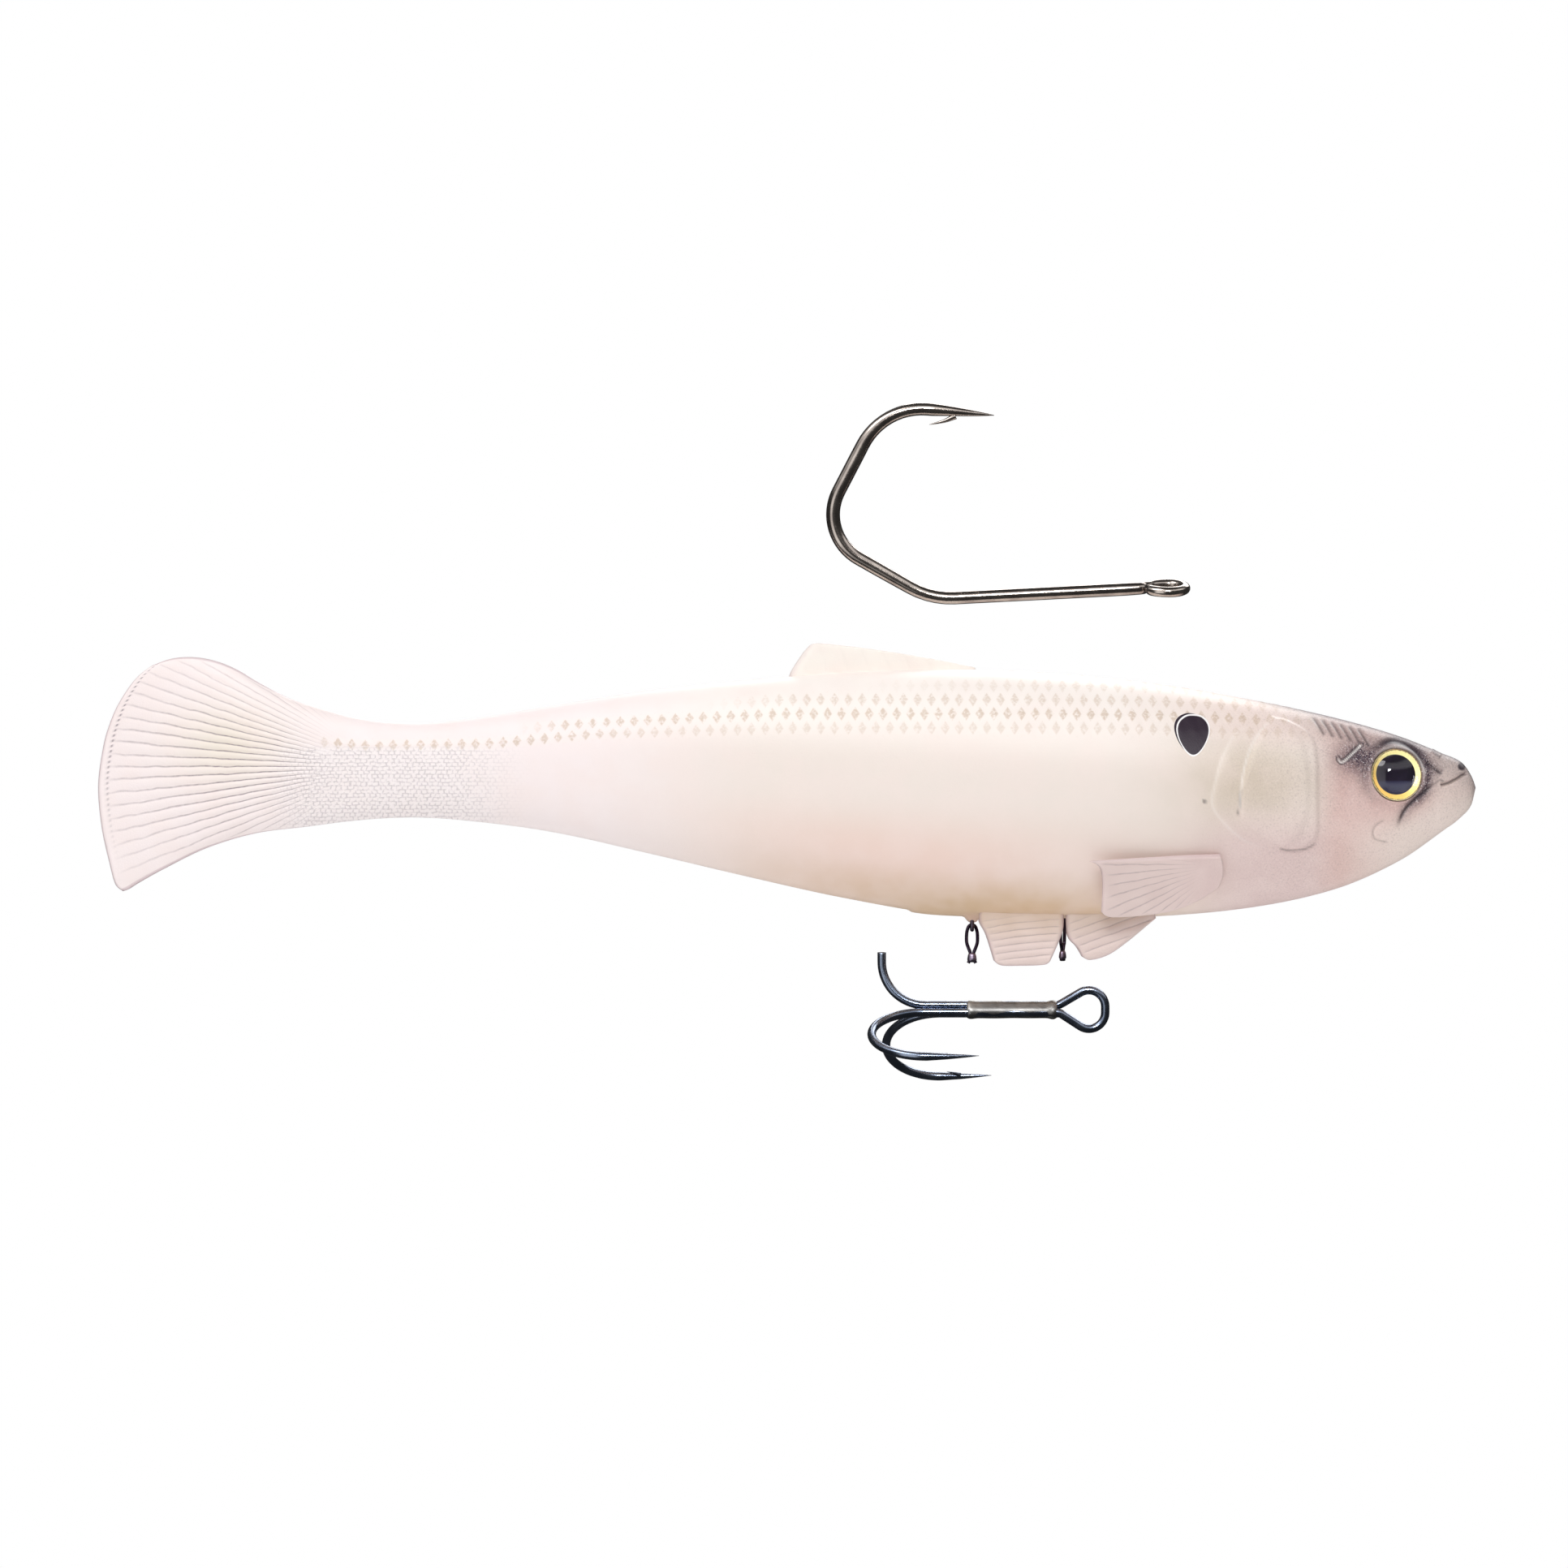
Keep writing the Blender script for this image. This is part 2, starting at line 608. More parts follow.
def skin_tint(x, z):
    """Base colour of the skin, from the pearl flank to the local tints laid over it in turn."""
    top, bottom = (profile(np.clip(x, FAN_ROOT, NOSE), column) for column in (1, 2))
    down = np.clip((top - z) / (top - bottom), 0, 1)
    tint = np.broadcast_to(PEARL, x.shape + (3,)).copy()
    for colour, share in (
            (BACK, ramp(down, 0.38, 0.12)),
            (PEACH, 0.8 * ramp(down, 0.5, 0.78) * bump_at(x, z, -80, -14, 30, 30)),
            (BELLY, ramp(down, 0.78, 0.97) * bump_at(x, z, -68, -20, 26, 30)),
            (TAIL, ramp(x, -98, -132)),
            (FAN_WARM, 0.7 * bump_at(x, z, -179, 3.5, 8, 5.5)),
            (GILL, 0.9 * bump_at(x, z, -31, -1.5, 11, 8.5)),
            (THROAT, ramp(x, -46, -30) * ramp(z, -4, -12)),
            (CHEEK, ramp(x, -23, -17)),
            (CROWN, 0.7 * ramp(x, -52, -28) * ramp(down, 0.26, 0.1)),
            (JAW, ramp(x, -22, -8) * ramp(down, 0.5, 0.8)),
            (JAW, 0.8 * ramp(x, -8, -2)),
            (NUB, 0.8 * bump_at(x, z, NUB_X, -22.4, 1.6, 0.9))):
        tint = tinted(tint, colour, share)
    return tint


def airbrush(x, z, from_eye):
    """Share of the dark grey-violet spray on the crown, round the eye and on the snout."""
    top = profile(np.clip(x, FAN_ROOT, NOSE), 1)
    crown = np.exp(-np.clip(top - z, 0, 99) / 0.5) * ramp(x, -36, -20)
    crown = np.maximum(crown, 0.4 * np.exp(-np.clip(top - z, 0, 99) / 2.2) * ramp(x, -34, -20))
    behind = 0.95 * bump_at(x, z, -15.2, 1.7, 3.2, 2.3)
    ring = 0.55 * np.exp(-((from_eye - 4.7) / 0.9) ** 2) * ramp(z - 0.3 * x, -3.5, 5)
    front = 0.8 * np.exp(-((from_eye - 4.6) / 0.8) ** 2) * ramp(x, -10, -5.5)
    snout = 0.14 * ramp(x, -9, -4) * ramp(z, -3.6, 0.5)
    veil = 0.15 * ramp(x, -26, -14) * ramp(z, -9, 2)
    jaw_line = 0.42 * stroke(MAXILLA, x, z, 0.9, 0.3)
    nose = 0.4 * stroke(NOSTRIL, x, z, 0.8)
    rim = 0.25 * ramp(x, 1.0, 1.9)
    clear = np.ones(x.shape)
    for share in (crown, behind, ring, front, snout, veil, jaw_line, nose, rim):
        clear = clear * (1 - share)
    return np.clip(1 - clear, 0, 1)


# Darkness, line, width and share of the line over which it fades at its ends
HEAD_INK = (
    (1.0, BROW, 0.58, 0.3),
    (0.62, MOUTH, 0.16, 0.05),
    (0.45, LIP_LINE, 0.16, 0.12),
    (0.9, MAXILLA, 0.26, 0.25),
    (0.30, CHEEK_ARC, 0.12, 0.12),
    (0.6, GILL_SLIT, 0.13, 0.12),
    (0.45, GILL_FLOOR, 0.14, 0.12),
    (0.5, SNOUT_RIDGE, 0.22, 0.12))


def ink_lines(x, z):
    """Share of the crisp near-black lines of the head."""
    tip = near(NOSTRIL, x, z)[1]
    ink = 0.85 * stroke(NOSTRIL, x, z, 0.2, 0.04) * (0.4 + 0.6 * tip)
    for share, route, width, ends in HEAD_INK:
        ink = np.maximum(ink, share * stroke(route, x, z, width, ends))
    ink = np.maximum(ink, 0.6 * head_ridges(x, z))
    ink = np.maximum(ink, 0.8 * ramp(np.hypot(x - GILL_DOT[0], z - GILL_DOT[1]), 0.34, 0.12))
    from_mouth = np.hypot(x - TUBE_MOUTH_MARK[0], z - TUBE_MOUTH_MARK[1])
    return np.maximum(ink, 0.97 * ramp(from_mouth, 0.72, 0.42))


def skin_fields(rings, fan_t, body_count):
    """Everything the skin material reads, for each point of the rings at rest."""
    x, z = rings[..., 0], rings[..., 2]
    column, row = scale_rows(x, z)
    head = x > HEAD_BACK
    centre, _ = eye_matrix("right", -1)
    from_eye = np.hypot(x - centre[0], z - centre[2])
    paint = np.zeros(x.shape)
    ink = np.zeros(x.shape)
    white = np.zeros(x.shape)
    paint[head] = airbrush(x[head], z[head], from_eye[head])
    ink[head] = ink_lines(x[head], z[head])
    border = np.maximum(stroke(GILL_BORDER, x[head], z[head], 0.16),
                        0.6 * stroke(OUTER_GILL, x[head], z[head], 0.2, 0.3))
    white[head] = np.maximum(stroke(CHECK_MARK, x[head], z[head], 0.12, 0.05), 0.4 * border)
    outline = np.exp(-((near(CHECK_MARK, x[head], z[head])[0] - 0.28) / 0.11) ** 2)
    ink[head] = np.maximum(ink[head], outline)
    rim = np.exp(-((from_eye - EYE_RADIUS - 0.34) / 0.2) ** 2)
    white = np.maximum(white, 0.36 * rim * ramp(z + 0.45 * x, -4.6, -2.4) * head)
    v = np.abs(np.linspace(-1, 1, 2 * HALF_SIDES + 1))[:-1]
    v = np.broadcast_to(1 - v, x.shape)
    t = np.concatenate([np.zeros(body_count), fan_t])[:, None]
    turn = np.degrees(np.arctan2(z - FAN_FOCUS[1], FAN_FOCUS[0] - x + 1e-6))
    fan = turn / FAN_RAY_TURN
    ray_fade = (ramp(x, -162, -172) * ramp(t, 0.985, 0.88) * ramp(np.abs(v - 0.5), 0.49, 0.45)
                * (1 - 0.6 * ramp(t, 0.25, 0.95)) * (1 - 0.6 * ramp(np.abs(turn), 6, 30)))
    weave = ramp(x, -134, -148) * ramp(x, -174, -166) * ramp(z, 3.6, 2.4)
    rim = 0.011 + 0.006 * ramp(x, -160, -175)
    edge = np.maximum(ramp(t, 0.988, 0.998), 0.9 * ramp(np.abs(v - 0.5), 0.5 - rim, 0.5 - 0.6 * rim))
    dots = np.exp(-((t - 0.955) / 0.007) ** 2) * ramp(v, 0.95, 0.3)
    return {"rest": rings, "tint": skin_tint(x, z), "paint": paint, "ink": ink, "white": white,
            "cell": np.stack([column, row, scale_strength(x, row)], axis=-1),
            "ray": np.stack([fan, ray_fade, np.broadcast_to(dots, x.shape)], axis=-1),
            "dot": v * FAN_DOTS, "weave": weave, "edge": 0.7 * edge}


def ray_relief(ray):
    """Fine pleats: rounded between the rays, which are the whole numbers, and creased on them."""
    return np.abs(np.sin(np.pi * ray)) ** 0.6


def skin_rings():
    """All rings of the skin from nose to trailing edge, shaped, and their fields."""
    xs = body_xs()
    body = half_rings(xs)
    fan, t = fan_rows(body[-1])
    rest = both_sides(np.concatenate([body, fan]))
    fields = skin_fields(rest, t, len(xs))
    head = rest[..., 0] > HEAD_BACK
    lift = skin_lift(rest[..., 0], rest[..., 2], head)
    pleats = ray_relief(fields["ray"][..., 0]) - 0.6
    thin = np.clip(np.abs(rest[..., 1]) / 0.5, 0, 1)
    lift += 0.2 * pleats * fields["ray"][..., 1] * thin
    shaped = rest + normals_of(rest) * lift[..., None]
    shaped[:, 0, 1] = 0
    shaped[:, HALF_SIDES, 1] = 0
    shaped = cut_tube_mouth(cut_belly(sink_eyes(shaped)))
    return xs, shaped, fields


def skin_piece(name, rings, fields, first, last, material, cap):
    """One length of skin between two rings."""
    part = rings[first:last + 1]
    rows, columns = part.shape[:2]
    verts = part.reshape(-1, 3)
    faces = grid_faces(rows, columns, True).tolist()
    if cap == "nose":
        faces.append(list(range(columns)))
    part_fields = {k: f[first:last + 1].reshape(rows * columns, -1).squeeze(-1)
                   if f.ndim == 2 else f[first:last + 1].reshape(rows * columns, 3)
                   for k, f in fields.items()}
    obj = add_piece(name, verts, faces, material, part_fields)
    if cap == "edge":
        close_doubles(obj)
    return obj


def close_doubles(obj):
    """Joins the two sides of a fin where they meet along its edge."""
    bm = bmesh.new()
    bm.from_mesh(obj.data)
    bmesh.ops.remove_doubles(bm, verts=bm.verts, dist=0.002 * MM)
    bmesh.ops.recalc_face_normals(bm, faces=bm.faces)
    bm.to_mesh(obj.data)
    bm.free()
    obj.data.polygons.foreach_set("use_smooth", [True] * len(obj.data.polygons))


def build_skin(material):
    xs, rings, fields = skin_rings()
    cuts = [int(np.argmin(np.abs(xs - s))) for s in SEAMS] + [len(rings) - 1]
    front = skin_piece("skin_front", rings, fields, 0, cuts[0], material, "nose")
    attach(front, "front")
    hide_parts("body_front")
    for i, (name, a, b, start, end, node, slot) in enumerate(SKIN_PIECES):
        cap = "edge" if name == "skin_fan" else ""
        piece = skin_piece(name, rings, fields, cuts[i], cuts[i + 1], material, cap)
        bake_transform(piece)
        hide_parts(node)


# ---- fins ----

def fin_mesh(root, tip, start, stop, half_root, half_tip, ray, colours, place, relief=0.22,
             outline=(1, 1), ray_start=(0.05, 0.3), rows=80, across=100):
    """A thin fin in local x and z, put in the frame by place().

    ray(x, z) numbers the rays by whole numbers; colours are the tints at the root and the tip;
    outline is how dark the starting and stopping edges are drawn.
    """
    s = np.linspace(0, 1, across + 1)
    t = np.linspace(0, 1, rows + 1)
    patch = coons(even_points(root, s), even_points(tip, s), even_points(start, t),
                  even_points(stop, t))
    sides = np.minimum(s, 1 - s)[None, :] * 14
    ends = (1 - t)[:, None] * 16
    border = np.clip(np.minimum(sides, ends), 0, 1)
    half = (half_root + (half_tip - half_root) * t)[:, None] * np.sqrt(1 - (1 - border) ** 2)
    rays = ray(patch[..., 0], patch[..., 1])
    fade = ramp(t, *ray_start)[:, None] * ramp(ends, 0.4, 2.2) * ramp(sides, 0.2, 1.4)
    half = half * (1 + relief * (ray_relief(rays) - 0.6) * fade)
    count = patch.shape[0] * patch.shape[1]
    verts = np.vstack([np.stack([patch[..., 0], sign * half, patch[..., 1]], axis=-1).reshape(-1, 3)
                       for sign in (1, -1)])
    front = grid_faces(rows + 1, across + 1, False)
    faces = front.tolist() + (front[:, ::-1] + count).tolist()
    faces += [[k + 1, k, k + count, k + 1 + count] for k in range(across)]
    dark = (outline[0] * ramp(s, 0.05, 0) + outline[1] * ramp(s, 0.95, 1))[None, :]
    dark = np.maximum(dark * ramp(ends, 0, 0.5), ramp(ends, 0.4, 0.0))
    share = ramp(t, 0.05, 0.7)[:, None, None]
    tint = (np.array(colours[0]) * (1 - share) + np.array(colours[1]) * share)
    tint = np.broadcast_to(tint, patch.shape[:2] + (3,)).reshape(-1, 3)
    lines = np.stack([rays, 0.42 * fade, np.zeros(patch.shape[:2])], axis=-1).reshape(-1, 3)
    placed = place(verts)
    fields = {"rest": placed, "tint": np.vstack([tint, tint]), "ray": np.vstack([lines, lines]),
              "edge": 0.55 * np.tile(dark.reshape(-1), 2)}
    return placed, faces, fields


def add_fin(name, body, node, fin, material):
    verts, faces, fields = fin
    obj = add_piece(name, verts, faces, material, fields)
    close_doubles(obj)
    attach(obj, body)
    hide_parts(node)


def build_dorsal(material):
    fin = fin_mesh(
        root=[(-97.6, 12.4), (-84, 13.2), (-70.0, 13.6)],
        tip=[(-94.6, 17.9), (-92.8, 18.2), (-85, 17.3), (-76.5, 15.9), (-70.6, 14.7)],
        start=[(-97.6, 12.4), (-97.4, 13.9), (-95.7, 16.6), (-94.6, 17.9)],
        stop=[(-70.0, 13.6), (-70.6, 14.7)],
        half_root=0.62, half_tip=0.4, ray=lambda x, z: (x + 0.35 * z) / 3, relief=0.08,
        colours=(srgb(255, 247, 240), srgb(255, 248, 240)), place=lambda p: p, outline=(0.6, 0))
    fin[2]["ray"][:, 1] *= 0.05
    add_fin("dorsal_sail", "dorsal", "dorsal_fin", fin, material)


PECTORAL_ROOT = (-35.5, 11.8, -12.8)
PECTORAL_LEAN = 28
PECTORAL_FLARE = 7
PECTORAL_FOCUS = (0.5, -0.9)
PECTORAL_RAY_TURN = 6.0


def pectoral_rays(x, z):
    """Rays that fan back and down from the front top corner."""
    turn = np.degrees(np.arctan2(PECTORAL_FOCUS[1] - z, PECTORAL_FOCUS[0] - x + 1e-6))
    return turn / PECTORAL_RAY_TURN + 0.5


def build_pectorals(material):
    for name, side in SIDES:
        turn = np.array(Matrix.Rotation(math.radians(-side * PECTORAL_LEAN), 3, "X")
                        @ Matrix.Rotation(math.radians(-side * PECTORAL_FLARE), 3, "Z"))
        root = np.array((PECTORAL_ROOT[0], side * PECTORAL_ROOT[1], PECTORAL_ROOT[2]))
        fin = fin_mesh(
            root=[(0.2, 0.4), (0.5, -1.2), (0.5, -3), (-0.2, -5)],
            tip=[(-19, 0.6), (-17.5, -0.4), (-17, -3), (-17.1, -7.9)],
            start=[(0.2, 0.4), (-6, 0.6), (-19, 0.6)],
            stop=[(-0.2, -5), (-3.5, -7.2), (-8, -8.6), (-15.2, -8.9), (-17.1, -7.9)],
            half_root=0.6, half_tip=0.3, ray=pectoral_rays,
            colours=(THROAT, srgb(229, 208, 203)), outline=(0.7, 0), ray_start=(0.15, 0.5),
            place=lambda p, turn=turn, root=root: p @ turn.T + root)
        add_fin(f"pectoral_{name}_sail", f"pectoral_{name}", f"pectoral_fin_{name}", fin, material)


FLAP_Y = 3.8
FLAP_Z = -21.2
FLAP_SPLAY = 8
FLAPS = {
    "rear": dict(
        root=[(-70.0, -20.4), (-64, -20.4), (-57.75, -20.4)],
        tip=[(-67.8, -28.0), (-66.8, -28.6), (-64, -28.65), (-60.6, -28.5), (-59.7, -27.9)],
        start=[(-70.0, -20.4), (-70.0, -22.2), (-69.0, -24.2), (-67.8, -28.0)],
        stop=[(-57.75, -20.4), (-57.85, -23.2), (-58.5, -25.2), (-59.7, -27.9)],
        ray=lambda x, z: (z - 0.11 * (x + 64) + 0.004 * (x + 64) ** 2) / 1.02,
        colours=(srgb(226, 202, 182), FLAP)),
    "front": dict(
        root=[(-57.5, -20.4), (-50, -20.4), (-44.6, -20.6)],
        tip=[(-55.0, -27.4), (-53.9, -27.8), (-51.4, -27.1), (-48.6, -25.2), (-44.4, -21.7)],
        start=[(-57.5, -20.4), (-57.4, -23.2), (-56.9, -24.8), (-55.9, -25.9), (-55.0, -27.4)],
        stop=[(-44.6, -20.6), (-44.4, -21.7)],
        ray=lambda x, z: (z - 0.36 * (x + 50)) / 1.25,
        colours=(srgb(224, 204, 190), FLAP))}


def build_flaps(material):
    for which, shape in FLAPS.items():
        for name, side in SIDES:
            turn = np.array(Matrix.Rotation(math.radians(side * FLAP_SPLAY), 3, "X"))
            hinge = np.array((0, side * FLAP_Y, FLAP_Z))
            fin = fin_mesh(half_root=0.6, half_tip=0.4, **shape,
                           place=lambda p, turn=turn, hinge=hinge: (
                               p - (0, 0, FLAP_Z)) @ turn.T + hinge)
            add_fin(f"{which}_flap_{name}_sail", f"flap_{which}_{name}", f"flap_{which}_{name}",
                    fin, material)


# ---- eyes ----

def build_eyes(iris, pupil, clear):
    """Foil, black pupil set in it and clear dome over it, turned to lie in the eye socket."""
    dome_radius = (EYE_RADIUS ** 2 + EYE_BULGE ** 2) / (2 * EYE_BULGE)
    drop = FOIL_THICKNESS + EYE_BULGE - dome_radius
    opening = math.asin(EYE_RADIUS / dome_radius)
    arc = [(dome_radius * math.sin(a), drop + dome_radius * math.cos(a))
           for a in np.linspace(opening, 0, 30)]
    dome = lathe([(0, FOIL_THICKNESS + 0.01), (EYE_RADIUS * 0.6, FOIL_THICKNESS + 0.01),
                  (EYE_RADIUS * 0.97, FOIL_THICKNESS + 0.01)] + arc)
    foil = lathe([(0, 0), (2, 0), (3.72, 0), (3.75, 0.1), (3.7, 0.26), (3.5, 0.3), (3.0, 0.27),
                  (1.5, 0.27), (0, 0.27)])
    disc = lathe([(0, 0.2), (1.5, 0.2), (PUPIL_RADIUS - 0.05, 0.2), (PUPIL_RADIUS, 0.26),
                  (PUPIL_RADIUS - 0.06, 0.29), (1.5, 0.3), (0, 0.3)])
    for name, side in SIDES:
        centre, axes = eye_matrix(name, side)
        for piece, (verts, faces), material, node, slot in (
                ("iris", foil, iris, "eye_foil", "eye_foil"),
                ("pupil", disc, pupil, "eye_foil", "eye_foil"),
                ("lens", dome, clear, "eye_dome", "eye_dome")):
            shift = np.array((PUPIL_SHIFT if piece == "pupil" else 0, 0, 0))
            placed = (verts + shift) @ axes.T + centre
            upright = verts * (1, -side, 1)
            obj = add_piece(f"eye_{piece}_{name}", placed, faces, material, {"rest": upright})
            obj.visible_shadow = piece != "lens"
            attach(obj, "front")
            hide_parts(f"{node}_{name}")


# ---- hooks ----

HOOK_ROUTE = [(-44.8, 0, 26.2), (-77, 0, 24.6), (-93.6, 0, 34), (-83.9, 0, 52.7),
              (-74.5, 0, 51.95), (-67.8, 0, 51.3)]
HOOK_BENDS = (12, 7.3, 9.7, 5)
HOOK_RADIUS = 0.94
HOOK_EYE = (-42.4, 0, 26.2)
HOOK_EYE_RADIUS = 2.35
HOOK_EYE_STRETCH = 1.35
HOOK_EYE_TILT = 15
HOOK_EYE_WIRE = 0.76
HOOK_SHANK_START = -49.5
HOOK_POINT_LENGTH = 9
HOOK_BARB_TIP = (-77.2, 0, 49.95)
HOOK_BARB_ROOT = (-73.4, 0, 51.2)
WIRE_SPACING = 0.3


def hook_eye_line():
    """The wire's oval loop round the eye, from its cut end back to the shank."""
    angles = np.radians(np.linspace(-166, 160, 70))
    tilt = math.radians(HOOK_EYE_TILT)
    out = np.cos(angles) * HOOK_EYE_RADIUS * np.where(np.cos(angles) < 0, HOOK_EYE_STRETCH, 1)
    across = np.sin(angles) * HOOK_EYE_RADIUS
    return np.stack([out, across * math.cos(tilt), across * math.sin(tilt)], axis=-1) + HOOK_EYE


def barb(tip, root, lift, radius):
    """A short spike raised from the wire behind the point."""
    line = smooth_line([root, (np.array(root) + tip) / 2 + lift, tip], 10)
    return sweep(line, np.linspace(radius, 0.03, len(line)), 12)


def build_single_hook(material):
    """One wire: the eye, the shank, the wide bend and the point, with a barb behind it."""
    shank = rounded_route(HOOK_ROUTE, HOOK_BENDS)
    ring = hook_eye_line()
    shank = shank[shank[:, 0] < HOOK_SHANK_START]
    join = smooth_line([ring[-2], ring[-1], (-46.9, 0.3, 26.2), (HOOK_SHANK_START + 1, 0, 26.05),
                        shank[0]], 10)[10:]
    line = respaced(np.vstack([ring[:-1], join[:-1], shank]), WIRE_SPACING)
    s = lengths_along(line)
    left = s[-1] - s
    radii = HOOK_EYE_WIRE + (HOOK_RADIUS - HOOK_EYE_WIRE) * ramp(s, 12, 20)
    radii = radii * np.clip(left / HOOK_POINT_LENGTH, 0.025, 1) ** 0.7
    radii[:5] *= np.array((0.5, 0.8, 0.93, 1, 1))
    forged = 1 + 0.08 * ramp(left, 14, 24) * ramp(left, 52, 42)
    body = sweep(line, radii, 28, flatten=forged)
    spike = barb(np.array(HOOK_BARB_TIP), HOOK_BARB_ROOT, (0.3, 0, -0.1), 0.5)
    add_hook("wide_gap_hook", "hook", ("single_hook",), joined(body, spike), material)


def add_hook(name, body, nodes, mesh, material):
    verts, faces = mesh
    obj = add_piece(name, verts, faces, material, {"rest": verts})
    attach(obj, body)
    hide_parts(*nodes)


TREBLE_Z = -35.1
TREBLE_BEND_X = -77.8
TREBLE_FRONT = -58.4
TREBLE_WIRE = 1.25
TREBLE_OFFSET = TREBLE_WIRE / math.sqrt(3) + 0.02
TREBLE_GAPE = 16.4
TREBLE_ROLL = 83
TREBLE_SPEAR = 7.6
TREBLE_POINT = 4.5
TREBLE_DROP = 0.25
TREBLE_SETBACK = 2.2
TREBLE_EYE_X = -54.1
TREBLE_EYE_RADIUS = 2.45
TREBLE_CUT_BEND = 6.3
TREBLE_TAPER = 7.5


def on_arm(arm, x, out):
    """A place at a distance out from the treble's axis, in the plane of one of its three arms."""
    a = math.radians(TREBLE_ROLL + 120 * arm)
    return (x, out * math.cos(a), TREBLE_Z + out * math.sin(a))


def full_arm(arm, setback):
    """Corners and bend radii of an arm that runs round the bend to its point."""
    bend = (TREBLE_GAPE - TREBLE_OFFSET) / 2
    left = TREBLE_BEND_X + setback - bend
    spear = TREBLE_BEND_X + setback + TREBLE_SPEAR
    corners = [on_arm(arm, TREBLE_FRONT, TREBLE_OFFSET), on_arm(arm, left, TREBLE_OFFSET),
               on_arm(arm, left, TREBLE_GAPE), on_arm(arm, spear - TREBLE_POINT, TREBLE_GAPE),
               on_arm(arm, spear, TREBLE_GAPE - TREBLE_DROP)]
    return corners, (bend - 0.02, bend - 0.02, 2)


def pointed(line):
    """Wire radius along a line that ends in a point."""
    left = lengths_along(line)[-1] - lengths_along(line)
    return TREBLE_WIRE / 2 * np.clip(left / TREBLE_TAPER, 0.03, 1) ** 0.75


def treble_barb(arm, setback):
    spear = TREBLE_BEND_X + setback + TREBLE_SPEAR
    tip = np.array(on_arm(arm, spear - 6.5, TREBLE_GAPE - 1.15))
    return barb(tip, on_arm(arm, spear - 4.6, TREBLE_GAPE - 0.35), (0.25, 0, 0), 0.36)


def build_treble(nickel, solder):
    """Two arms and the eye are one wire, the third arm is another; solder holds their shanks."""
    bend = TREBLE_CUT_BEND
    left = TREBLE_BEND_X - bend
    cut = [on_arm(0, left, TREBLE_OFFSET + bend + 1.4), on_arm(0, left, TREBLE_OFFSET),
           on_arm(0, TREBLE_FRONT, TREBLE_OFFSET)]
    reach = TREBLE_EYE_X - TREBLE_FRONT
    rise = math.tan(math.asin(TREBLE_EYE_RADIUS / reach)) * (reach + TREBLE_EYE_RADIUS)
    eye = [(TREBLE_EYE_X + TREBLE_EYE_RADIUS, 0, TREBLE_Z + s * rise) for s in (1, -1)]
    arm, arm_bends = full_arm(1, 0)
    eye_bend = TREBLE_EYE_RADIUS * 0.97
    line = respaced(rounded_route(cut + eye + arm, (bend, 1.5, eye_bend, eye_bend, 1.5) + arm_bends),
                    WIRE_SPACING)
    double = joined(sweep(line, pointed(line), 22), treble_barb(1, 0))
    add_hook("treble_double", "treble", ("treble_double_hook",), double, nickel)
    arm, arm_bends = full_arm(2, TREBLE_SETBACK)
    line = respaced(rounded_route(arm, arm_bends), WIRE_SPACING)
    third = joined(sweep(line, pointed(line), 22), treble_barb(2, TREBLE_SETBACK))
    add_hook("treble_third", "treble", ("treble_third_hook",), third, nickel)
    add_hook("treble_solder", "treble", ("treble_braze",), solder_sleeve(), solder)


SOLDER = (-71.8, -58.6)
SOLDER_SIDES = 60
SOLDER_SEAM_TURN = 222


def solder_sleeve():
    """Solder that follows the three shanks and fills the hollows between them."""
    xs = np.linspace(SOLDER[0], SOLDER[1], 110)
    angles = np.linspace(0, 2 * np.pi, SOLDER_SIDES, endpoint=False)
    arms = np.radians(TREBLE_ROLL + 120 * np.arange(3))
    reach = np.cos(angles[:, None] - arms[None, :]) * TREBLE_OFFSET + TREBLE_WIRE / 2
    section = np.log(np.exp(reach * 4).sum(axis=1)) / 4 - 0.06
    seam = 0.22 * np.exp(-((np.degrees(angles) - SOLDER_SEAM_TURN) / 7) ** 2)
    rings = []
    for i, x in enumerate(xs):
        thick = 0.03 + 0.03 * math.sin(0.9 * x) * math.sin(0.37 * x + 1)
        thick += 0.10 * math.exp(-((x - SOLDER[0] - 0.7) / 0.6) ** 2)
        thick += 0.16 * math.exp(-((x - SOLDER[1] + 0.7) / 0.5) ** 2)
        close = min(1.0, (i + 1) / 5, (len(xs) - i) / 5)
        r = section + thick - 0.3 * (1 - close) ** 2 - seam * ramp(x, SOLDER[0], SOLDER[0] + 2)
        rings.append(np.stack([np.full(SOLDER_SIDES, x), r * np.cos(angles),
                               TREBLE_Z + r * np.sin(angles)], axis=-1))
    return np.vstack(rings), capped_tube(len(xs), SOLDER_SIDES)


# ---- hangers ----

LOOP = [(-0.55, -4.85), (-0.36, -4.45), (-0.26, -3.9), (-0.27, -3.3), (-0.5, -2.7), (-0.76, -1.9),
        (-0.8, -1.0), (-0.72, -0.2), (-0.45, 0.5), (0, 0.72)]
LOOP_TOP = 0.97
HANGER_WIRE_RADIUS = 0.25
HANGER_HEIGHT = 5.97
HANGER_TURNS = (("rear", 0), ("front", 68))
CRIMP_SIDES = 28


